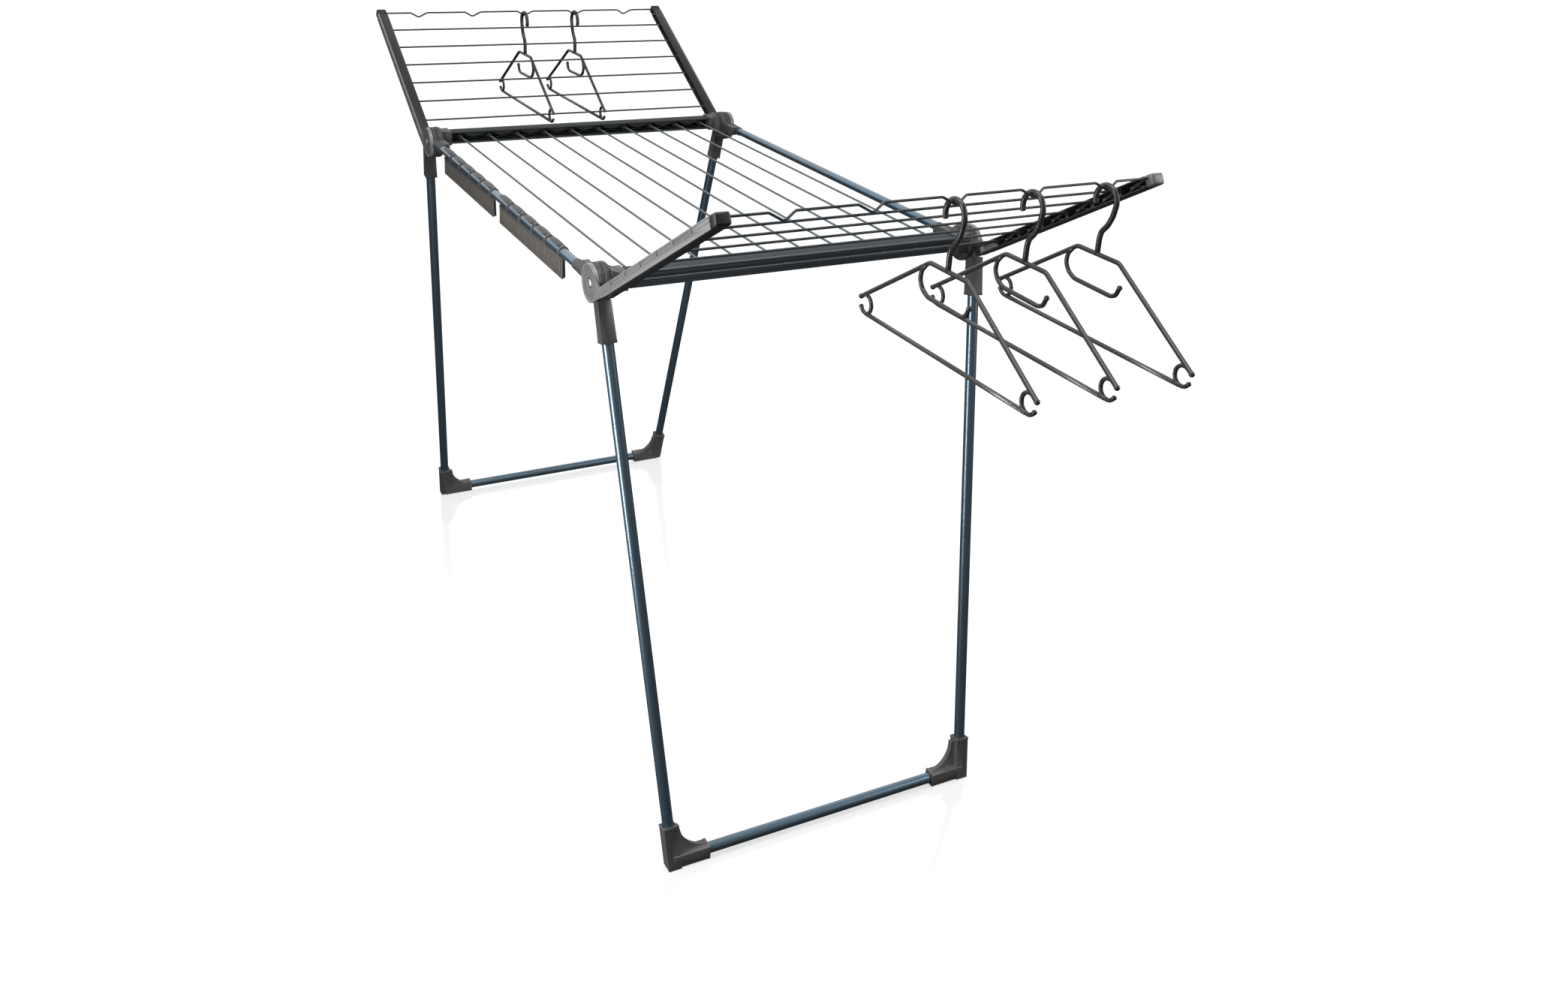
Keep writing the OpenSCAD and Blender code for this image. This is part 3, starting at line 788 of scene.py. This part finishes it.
def wings():
    shell, channel, disc, cap = arm_shell(), arm_channel(), arm_disc(), arm_cap()
    panel, wire = arm_panel(), notched_wire()
    panels = [panel] + [another(panel, "panel", Matrix.Translation((k * WIRE_PITCH * MM, 0, 0)))
                        for k in range(1, 6)]
    first = another(panel, "panel", Matrix.Translation((-61.5 * MM, 0, 0)))
    hold(first)
    bpy.ops.object.mode_set(mode="EDIT")
    pick(first, "verts", lambda c: c.x < 0.06)
    bpy.ops.transform.translate(value=(16 * MM, 0, 0))
    bpy.ops.object.mode_set(mode="OBJECT")
    face = gather("arm_panels", *panels, first)
    for end in ENDS:
        body = end + "_wing"
        for side in SIDES:
            place = wing_place(end, side)
            arm = f"{end}_arm_{side}"
            # Shells, discs and panels take the lighter plastic, which is painted light.
            fit(another(shell, arm + "_shell", place), body, "arm_plastic",
                "charcoal_plastic", arm)
            # The inner channel, its slot plugs and the rivet ring are near-black as painted shade.
            fit(another(channel, arm + "_channel", place), body, "channel_plastic",
                "charcoal_plastic")
            fit(another(disc, arm + "_disc", place), body, "arm_plastic", "charcoal_plastic")
            fit(another(face, arm + "_panels", place), body, "arm_plastic", "charcoal_plastic")
            capping = "arm_plastic" if (end, side) == ("front", "right") else "cap_rubber"
            fit(another(cap, arm + "_cap", place), body, capping, "charcoal_plastic")
        name = end + "_wire_7"
        fit(another(wire, name + "_notched", wing_place(end)), body, "wing_wire",
            "wire_steel", name)
    discard(shell, channel, disc, cap, face, wire)


# ---------------------------------------------------------------- end rails

def rail_shell():
    """Drawn section of an end rail: outer wall with a groove and a ridge, and a lower flange."""
    section = [(RAIL_IN, RAIL_LOW), (498.6, RAIL_LOW), (499.3, RAIL_LOW + 0.8), (499.3, 931.4),
               (499.7, 931.9), (499.7, 933.9), (499.2, 934.5), (498.3, 934.9), (498.3, 941.2),
               (498.7, 941.7), (499.3, 942), (499.3, 948), (498.4, RAIL_HIGH), (494.7, RAIL_HIGH),
               (494.7, RAIL_LOW + 2.4), (RAIL_IN, RAIL_LOW + 2.4)]
    shell = outline("rail_shell", section, -RAIL_END, 2 * RAIL_END, "XZ")
    for k in range(10):
        y = (k - 4.5) * TABLE_PITCH
        hole = turned("hole", [(2.3, -2.2), (2.3, 4)], (RAIL_X, y, TABLE_WIRE_Z), (1, 0, 0), 16)
        fuse(shell, hole, "DIFFERENCE")
    return soften(shell, 0.3 * MM, 2)


def rail_channel():
    """Upper flange, ribs and wire bosses on the inner side of an end rail."""
    wires = [(k - 4.5) * TABLE_PITCH for k in range(10)]
    parts = []
    for k, y in enumerate(wires):
        boss = turned("boss", [(3.2, 0.5), (3.2, 0), (4.3, 0), (4.7, 0.5), (4.7, 26)],
                      (RAIL_IN + 1.5, y, TABLE_WIRE_Z), (1, 0, 0), 20)
        parts.append(soften(boss, 0))
        parts.append(turned("plug", [(2.2, 495), (2.2, 497.8), (1.8, 498)], (0, y, TABLE_WIRE_Z),
                            (1, 0, 0), 14))
        web = block("web", (RAIL_IN + 6, y - 0.7, RAIL_LOW + 1.5), (495.4, y + 0.7, RAIL_HIGH - 1.4))
        bpy.ops.object.mode_set(mode="OBJECT")
        parts.append(soften(web, 0.25 * MM, 1))
        if k == 9:
            continue
        bowl = outline("bowl", [(y + 7, 947)] + arc((y + TABLE_PITCH / 2, 951), 24.5, 190, 350, 14)
                       + [(y + TABLE_PITCH - 7, 947)], RAIL_IN + 4, 1.3, "YZ")
        hold(bowl)
        bpy.ops.object.mode_set(mode="EDIT")
        bpy.ops.mesh.select_all(action="SELECT")
        shrink(1, (0, 0, 0.947), (1, 1, 0.46))
        bpy.ops.object.mode_set(mode="OBJECT")
        parts.append(soften(bowl, 0.3 * MM, 1))
        for slope in (-1, 1):
            middle = Vector((484, y + TABLE_PITCH / 2, 935.6))
            rib = block("rib", middle - Vector((9, 30.5, 0.6)), middle + Vector((11.3, 30.5, 0.6)))
            bpy.ops.transform.rotate(value=slope * math.radians(16), orient_axis="X",
                                     center_override=tuple(middle * MM))
            bpy.ops.object.mode_set(mode="OBJECT")
            parts.append(soften(rib, 0.25 * MM, 1))
    return gather("rail_channel", *parts)


def rails():
    shell, channel = rail_shell(), rail_channel()
    flange = block("flange", (RAIL_IN, -RAIL_END, RAIL_HIGH - 2.4), (495.5, RAIL_END, RAIL_HIGH))
    bpy.ops.object.mode_set(mode="OBJECT")
    soften(flange, 0.5 * MM, 2)
    for end in ENDS:
        place = corner(end, "right")
        fit(another(shell, f"end_rail_{end}_shell", place), "table_frame", "rail_plastic",
            "rail_plastic", f"end_rail_{end}")
        # The inner ribs, bosses and plugs are near-black as painted shade.
        fit(another(channel, f"end_rail_{end}_channel", place), "table_frame", "channel_plastic",
            "rail_plastic")
        fit(another(flange, f"end_rail_{end}_flange", place), "table_frame", "rail_top",
            "rail_plastic")
    discard(shell, channel, flange)


# ---------------------------------------------------------------- hinge corners

def hinge_drum():
    """Round plate of a hinge block, running into the collars of the rail and the side tube."""
    drum = turned("hinge_drum", [(22, 0), (26, 0.3), (28.6, 1.4), (30.3, 3.2), (31, 5.6), (31, 11.7),
                                 (30.2, 12.5), (20, 12.5)],
                  (RIVET_X, 316, RIVET_Z), (0, 1, 0), 64)
    collar = block("collar", (465.6, 294, 922.4), (501.4, 307, 951))
    pick(collar, "faces", lambda c, n: n.y > 0.5)
    pull((0, 12 * MM, 0))
    shrink(1, (484 * MM, 319 * MM, 933 * MM), (1.25, 1, 1.3))
    bpy.ops.transform.translate(value=(-6 * MM, 0, -1 * MM))
    close_up(collar)
    fuse(drum, collar)
    saddle = block("saddle", (396, 317, 924.5), (452, 327.6, 941.5))
    bpy.ops.object.mode_set(mode="OBJECT")
    fuse(drum, saddle)
    sleeve = turned("sleeve", [(8.2, 0), (8.7, 0.2), (9.1, 1), (9.3, 12), (9.7, 26), (10.1, 37),
                               (10.1, 43.6), (9.4, 44.2), (6, 44.2)],
                    (388, 333, 933), (1, 0, 0), 40)
    fuse(drum, sleeve)
    return soften(drum, 1.1 * MM, 3)


def rivet_head():
    """Domed head of a hinge rivet."""
    rings = [(5.2, 0), (5.9, 0.25), (6.0, 0.6), (5.6, 1.1), (4.6, 1.65), (3.2, 2.1), (1.6, 2.35),
             (0.3, 2.42)]
    return soften(turned("rivet_head", rings, (RIVET_X, ARM_Y - 2.5, RIVET_Z), (0, 1, 0), 32), 0)


def rivet_tail():
    """Flared inner end of a hinge rivet."""
    rings = [(5.8, 0), (6.5, -0.5), (6.3, -1.1), (5.0, -1.6), (2.6, -1.6), (2.2, -0.9)]
    return soften(turned("rivet_tail", rings, (RIVET_X, 316.9, RIVET_Z), (0, 1, 0), 32), 0)


def hinges():
    drum, head, tail = hinge_drum(), rivet_head(), rivet_tail()
    for end in ENDS:
        for side in SIDES:
            place = corner(end, side)
            fit(another(drum, f"hinge_drum_{end}_{side}", place), "table_frame",
                "charcoal_plastic", "charcoal_plastic", f"hinge_block_{end}_{side}")
            fit(another(head, f"rivet_head_{end}_{side}", place), "table_frame",
                "rivet_steel", "rivet_steel", f"rivets_{end}")
            fit(another(tail, f"rivet_tail_{end}_{side}", place), "table_frame",
                "rivet_steel", "rivet_steel")
    discard(drum, head, tail)


# ---------------------------------------------------------------- legs

def leg_socket():
    """Head plate on the rivet and the tapered box that holds the top of the leg tube."""
    head = turned("leg_socket", [(24, 0), (29.8, 0), (30.6, 0.8), (30.6, 7.5), (29.8, 8.3), (24, 8.3)],
                  (RIVET_X, 328.9, RIVET_Z), (0, 1, 0), 64)
    neck = outline("neck", [(4, -8), (28.5, -10), (31.5, -26), (31.5, -46), (13.6, -46), (6, -28)],
                   328.9, 8.3)
    lean = Matrix.Translation(Vector((RIVET_X, 0, RIVET_Z)) * MM) @ Matrix.Rotation(
        -math.radians(LEG_LEAN), 4, "Y")
    settle(neck, lean)
    fuse(head, neck)
    box = block("box", (-9.8, -10.6, -84.5), (9.8, 10.6, -24))
    pick(box, "faces", lambda c, n: n.z < -0.5)
    shrink(1, (0, 0, -0.0845), (1.05, 1.09, 1))
    pull((0, 0, -0.0005))
    shrink(1, (0, 0, -0.085), (1.025, 1.025, 1))
    pull((0, 0, -0.0035))
    bpy.ops.object.mode_set(mode="OBJECT")
    settle(box, leg_place())
    for inner, outer in ((300, 328.7), (337.4, 350)):
        hollow = turned("hollow", [(31.4, inner), (31.4, outer)], (RIVET_X, 0, RIVET_Z), (0, 1, 0), 64)
        fuse(box, hollow, "DIFFERENCE")
    fuse(head, box)
    return soften(head, 0.9 * MM, 3)


def foot():
    """Corner foot: two snug collars and the curved web between them."""
    side, wall = 10.9, 11.4
    lean = math.radians(LEG_LEAN)
    drop = RIVET_Z + 22.8 * math.sin(lean) - 12.5
    foot_x = RIVET_X + 22.8 * math.cos(lean) + drop * math.tan(lean)
    upright = block("foot", (-side, -wall, -970), (side, wall, -888))
    pick(upright, "faces", lambda c, n: n.z > 0.5)
    pull((0, 0, 0.3 * MM))
    shrink(1, (0, 0, -0.8877), (1.05, 1.05, 1))
    pull((0, 0, 4.2 * MM))
    bpy.ops.mesh.inset(thickness=1.8 * MM)
    pull((0, 0, -0.8 * MM))
    bpy.ops.object.mode_set(mode="OBJECT")
    settle(upright, leg_place())
    level = block("level", (foot_x - side, 222, 0), (foot_x + side, 282, 12.5 + side))
    pick(level, "faces", lambda c, n: n.y < -0.5)
    pull((0, -0.3 * MM, 0))
    shrink(1, (foot_x * MM, 0.2217, 0), (1.05, 1, 1.03))
    pull((0, -4.2 * MM, 0))
    bpy.ops.mesh.inset(thickness=1.8 * MM)
    pull((0, 0.8 * MM, 0))
    bpy.ops.object.mode_set(mode="OBJECT")
    fuse(upright, level)
    curve = arc((219, 70), 47, -90, -2, 14)
    web = outline("web", [(219, 3)] + curve + [(276, 68), (276, 3)], -4.6, 9.2, "YZ")
    settle(web, Matrix.Translation((foot_x * MM, 0, 0)) @ Matrix.Rotation(-lean, 4, "Y"))
    fuse(upright, web)
    hold(upright)
    bpy.ops.object.mode_set(mode="EDIT")
    bpy.ops.mesh.select_all(action="SELECT")
    bpy.ops.mesh.bisect(plane_co=(0, 0, 0.0004), plane_no=(0, 0, 1), use_fill=True,
                        clear_inner=True)
    bpy.ops.object.mode_set(mode="OBJECT")
    return soften(upright, 1.0 * MM, 3)


def legs():
    socket, shoe = leg_socket(), foot()
    for end in ENDS:
        for side in SIDES:
            place = corner(end, side)
            body = end + "_legs"
            fit(another(socket, f"socket_{end}_{side}", place), body, "socket_plastic",
                "charcoal_plastic", f"leg_socket_{end}_{side}")
            fit(another(shoe, f"shoe_{end}_{side}", place), body, "shoe_plastic",
                "charcoal_plastic", f"foot_{end}_{side}")
    discard(socket, shoe)


# ---------------------------------------------------------------- hangers

def hanger():
    """A clothes hanger, in the XZ plane, hanging from the origin."""
    top = 1.9 + 0.06 + 4
    bend = 21
    centre = Vector((0, 0, top - bend))
    first = math.radians(200)
    tip = centre + Vector((math.cos(first), 0, math.sin(first))) * bend
    way = Vector((math.sin(first), 0, -math.cos(first)))
    hook = Rod("hook", 4.0, tip, way, ((0.3, 0.95), (0.3, 0.8), (0.12, 0.5)), 16, seam=(1, 0, 0))
    hook.bend(212, bend, (0, 1, 0))
    hook.through(((17.8, 0, -34), 30), ((10.5, 0, -48.5), 30), ((0.2, 0, -59.5), 15),
                 ((-1.8, 0, -70), 30), ((-1.6, 0, -92), 0))
    hook = hook.finish(FLAT_TIP)
    y = (0, 1, 0)
    bars = Rod("bars", 3.4, (-202, 0, -191.4), (159, 0, 99.4), BALL_TIP, 14, seam=y)
    bars.through(((-43, 0, -92), 16), ((43, 0, -92), 16), ((202, 0, -191.4), 0))
    bars = bars.finish(BALL_TIP)
    base = Rod("base", 3.3, (-186, 0, -214.5), (1, 0, 0), FLAT_TIP, 14)
    base.run(372)
    base = base.finish(FLAT_TIP)
    loops = []
    for side in (-1, 1):
        at = math.radians(66)
        start = Vector((side * (189.5 + 14 * math.cos(at)), 0, -200.5 + 14 * math.sin(at)))
        towards = Vector((-side * math.sin(at), 0, math.cos(at)))
        loop = Rod("loop", 3.0, start, towards, FLAT_TIP, 12)
        loop.bend(256, 14, (0, -side, 0))
        loops.append(loop.finish(BALL_TIP))
    inner = Rod("inner", 3.3, (-50, 0, -96), (-10.5, 0, -12), FLAT_TIP, 12)
    inner.through(((-60.5, 0, -108), 16), ((-62.5, 0, -121), 16), ((-55, 0, -133), 16),
                  ((-41, 0, -140), 18), ((36, 0, -141.5), 14), ((46, 0, -137.5), 9),
                  ((50.5, 0, -127), 0))
    inner = inner.finish(BALL_TIP)
    return gather("hanger", hook, bars, base, *loops, inner)


def hangers():
    model = hanger()
    out = WIRE_FIRST + 6 * WIRE_PITCH
    for end, count in (("front", 3), ("rear", 2)):
        tilt = math.radians(WING_ANGLE[end])
        drop = -WIRE_DROP + NOTCH_DEPTH
        x = RIVET_X + out * math.cos(tilt) + drop * math.sin(tilt)
        z = RIVET_Z + out * math.sin(tilt) - drop * math.cos(tilt)
        for k in range(count):
            place = Matrix.Translation(Vector((x, k * NOTCH_PITCH, z)) * MM)
            name = f"hanger_{end}_{k + 1}"
            fit(another(model, name + "_moulding", corner(end, "right") @ place), name + "_body",
                "hanger_plastic", "hanger_plastic", name)
    discard(model)


# ---------------------------------------------------------------- comb strips

COMB_Y, COMB_Z, COMB_LENGTH = -333, 933, 331
COMB_START = {"front": 2, "rear": -366}
SEGMENT = COMB_LENGTH / 5


def comb_cover():
    """Humped half shell that clips over the inner side of the tube."""
    hump = [(1, 7.7), (1, 8.9), (5, 10.2), (16, 10.8), (34, 10.7), (48, 10.0), (56, 9.2), (57, 7.7)]
    first = math.radians(-92)
    bench()
    start = Vector((hump[0][0], hump[0][1] * math.cos(first), hump[0][1] * math.sin(first)))
    bpy.ops.mesh.primitive_plane_add(size=MM, location=start * MM)
    cover = started("comb_cover")
    bpy.ops.mesh.merge(type="CENTER")
    for (x0, r0), (x1, r1) in zip(hump, hump[1:]):
        pull(Vector((x1 - x0, (r1 - r0) * math.cos(first), (r1 - r0) * math.sin(first))) * MM)
    bpy.ops.mesh.select_all(action="SELECT")
    bpy.ops.mesh.edge_face_add()
    bpy.ops.mesh.delete(type="ONLY_FACE")
    bpy.ops.mesh.select_all(action="SELECT")
    bpy.ops.mesh.spin(steps=21, angle=-math.radians(224), center=(0, 0, 0), axis=(1, 0, 0))
    for start, finish, turn in ((0, 4, 26), (45, 50, 8), (51, 58, 24)):
        pick(cover, "verts", lambda c: start * MM <= c.x < finish * MM and c.z > 0
             and c.y < -0.24 * c.z)
        bpy.ops.transform.rotate(value=math.radians(turn), orient_axis="X",
                                 center_override=(0, 0, 0))
    close_up(cover)
    return soften(cover, 0.35 * MM, 2)


def comb_ring():
    rings = [(7.7, 0), (8.9, 0), (9.5, 0.5), (9.8, 1.4), (9.8, 2.8), (9.4, 3.7), (8.9, 4.1), (7.7, 4.1)]
    return soften(turned("comb_ring", rings, (57, 0, 0), (1, 0, 0), 32), 0)


def comb_fins(name, start, near, count, taper):
    """A row of flat teeth, a little thicker at their tips."""
    tooth = block(name, (start, near, -43), (start + 5.8, near + 2.4, -12.6))
    pick(tooth, "faces", lambda c, n: n.z < -0.5)
    shrink(1, ((start + 2.9) * MM, (near + 1.2) * MM, -0.043), (taper, 1.5, 1))
    bpy.ops.object.mode_set(mode="OBJECT")
    soften(tooth, 0.45 * MM, 1)
    row = tooth.modifiers.new("row", "ARRAY")
    row.use_relative_offset = False
    row.use_constant_offset = True
    row.constant_offset_displace = (9.2 * MM, 0, 0)
    row.count = count
    bpy.ops.object.modifier_apply(modifier=row.name)
    return tooth


def combs():
    cover, ring = comb_cover(), comb_ring()
    fins = comb_fins("comb_fins", 1, -4.2, 36, 0.86)
    # The back row goes in the dark clip plastic as painted shade, darkening the gaps between the front
    # fins.
    back = comb_fins("comb_back_fins", 5.6, 0.8, 35, 1)
    covers, rings = [cover], [ring]
    for k in range(1, 5):
        step = Matrix.Translation((k * SEGMENT * MM, 0, 0))
        covers.append(another(cover, "cover", step))
        rings.append(another(ring, "ring", step))
    spine = block("spine", (0, -4.4, -14), (COMB_LENGTH - 3, 0.4, -8.6))
    bpy.ops.object.mode_set(mode="OBJECT")
    soften(spine, 0.6 * MM, 2)
    clips = gather("comb_clips", *covers, *rings, spine, back)
    for end, start in COMB_START.items():
        place = Matrix.Translation(Vector((start, COMB_Y, COMB_Z)) * MM)
        fit(another(clips, f"comb_{end}_clips", place), end + "_comb", "clip_plastic",
            "comb_plastic", "comb_" + end)
        fit(another(fins, f"comb_{end}_fins", place), end + "_comb", "comb_plastic",
            "comb_plastic")
    discard(clips, fins)


wings()
rails()
hinges()
legs()
hangers()
combs()


# ---------------------------------------------------------------- studio

def studio_floor():
    """Bright, lightly polished studio floor."""
    floor = Finish("studio_floor", IOR=3.0, Emission_Strength=0.68)
    clouds = floor.noise(0.7, 2.0)
    floor.set("Base Color", floor.blend(clouds, (0.3, 0.3, 0.3), (0.31, 0.31, 0.31)))
    floor.set("Emission Color", (1, 1, 1, 1))
    floor.set("Roughness", 0.07 + 0.03 * clouds)
    return floor.material


def studio_air():
    """Light of the room: bright behind the rack, dim in front of it and below."""
    world = bpy.data.worlds.new("studio_air")
    bpy.context.scene.world = world
    world.use_nodes = True
    air = Nodes(world.node_tree)
    way = air.node("ShaderNodeTexCoord", output="Generated")
    back = air.node("ShaderNodeVectorMath", {"operation": "DOT_PRODUCT"},
                    {0: way, 1: (-0.82, 0.46, 0.1)}, "Value")
    rise = air.node("ShaderNodeVectorMath", {"operation": "DOT_PRODUCT"},
                    {0: way, 1: (0, 0, 1)}, "Value")
    behind = air.band(back, -0.1, 0.6)
    above = air.band(rise, -0.05, 0.05)
    crown = air.band(rise, 0.5, 0.95)
    light = above * (0.13 + 0.87 * behind) * (1 - 0.55 * crown) + 0.04
    shade = air.node("ShaderNodeCombineColor", {}, {0: light * 0.97, 1: light * 0.985, 2: light})
    glow = air.node("ShaderNodeBackground", {}, {"Color": shade, "Strength": 1.0})
    output = world.node_tree.nodes.new("ShaderNodeOutputWorld")
    world.node_tree.links.new(glow.socket, output.inputs["Surface"])


def softbox(name, place, aim, size, power, colour=(1, 1, 1)):
    data = bpy.data.lights.new(name, "AREA")
    data.shape = "RECTANGLE"
    data.size, data.size_y = size
    data.energy = power
    data.color = colour
    light = bpy.data.objects.new(name, data)
    light.location = place
    light.rotation_euler = (Vector(aim) - Vector(place)).to_track_quat("-Z", "Y").to_euler()
    light.visible_camera = False
    bpy.context.scene.collection.objects.link(light)


def studio():
    """Floor, soft lights and camera."""
    bench()
    bpy.ops.mesh.primitive_grid_add(x_subdivisions=8, y_subdivisions=8, size=80,
                                    location=(0, 0, -0.0006))
    floor = bpy.context.object
    floor.name = "studio_floor"
    floor.data.materials.append(studio_floor())
    floor.visible_diffuse = False
    floor.visible_glossy = False
    studio_air()
    softbox("strip_box", (0.66, -1.15, 0.95), (0.5, -0.34, 0.8), (0.16, 1.7), 20)
    softbox("side_box", (2.2, 2.4, 1.9), (0, 0.2, 0.8), (0.7, 2.0), 34)
    softbox("top_box", (0.4, -0.4, 3.4), (0, 0, 0.8), (2.6, 1.2), 42)

    camera_data = bpy.data.cameras.new("camera")
    camera_data.sensor_width = 36
    camera_data.lens = 30.634
    camera_data.shift_x = 0.0218
    camera_data.shift_y = -0.0862
    camera_data.dof.use_dof = False
    camera = bpy.data.objects.new("camera", camera_data)
    camera.matrix_world = Matrix((
        (0.4516, -0.3529, 0.8195, 2.2307),
        (0.8909, 0.1281, -0.4358, -1.0051),
        (0.0488, 0.9268, 0.3723, 1.5715),
        (0, 0, 0, 1)))
    bpy.context.scene.collection.objects.link(camera)
    bpy.context.scene.camera = camera
    bpy.context.scene.view_settings.view_transform = "Standard"


studio()

bpy.context.view_layer.update()
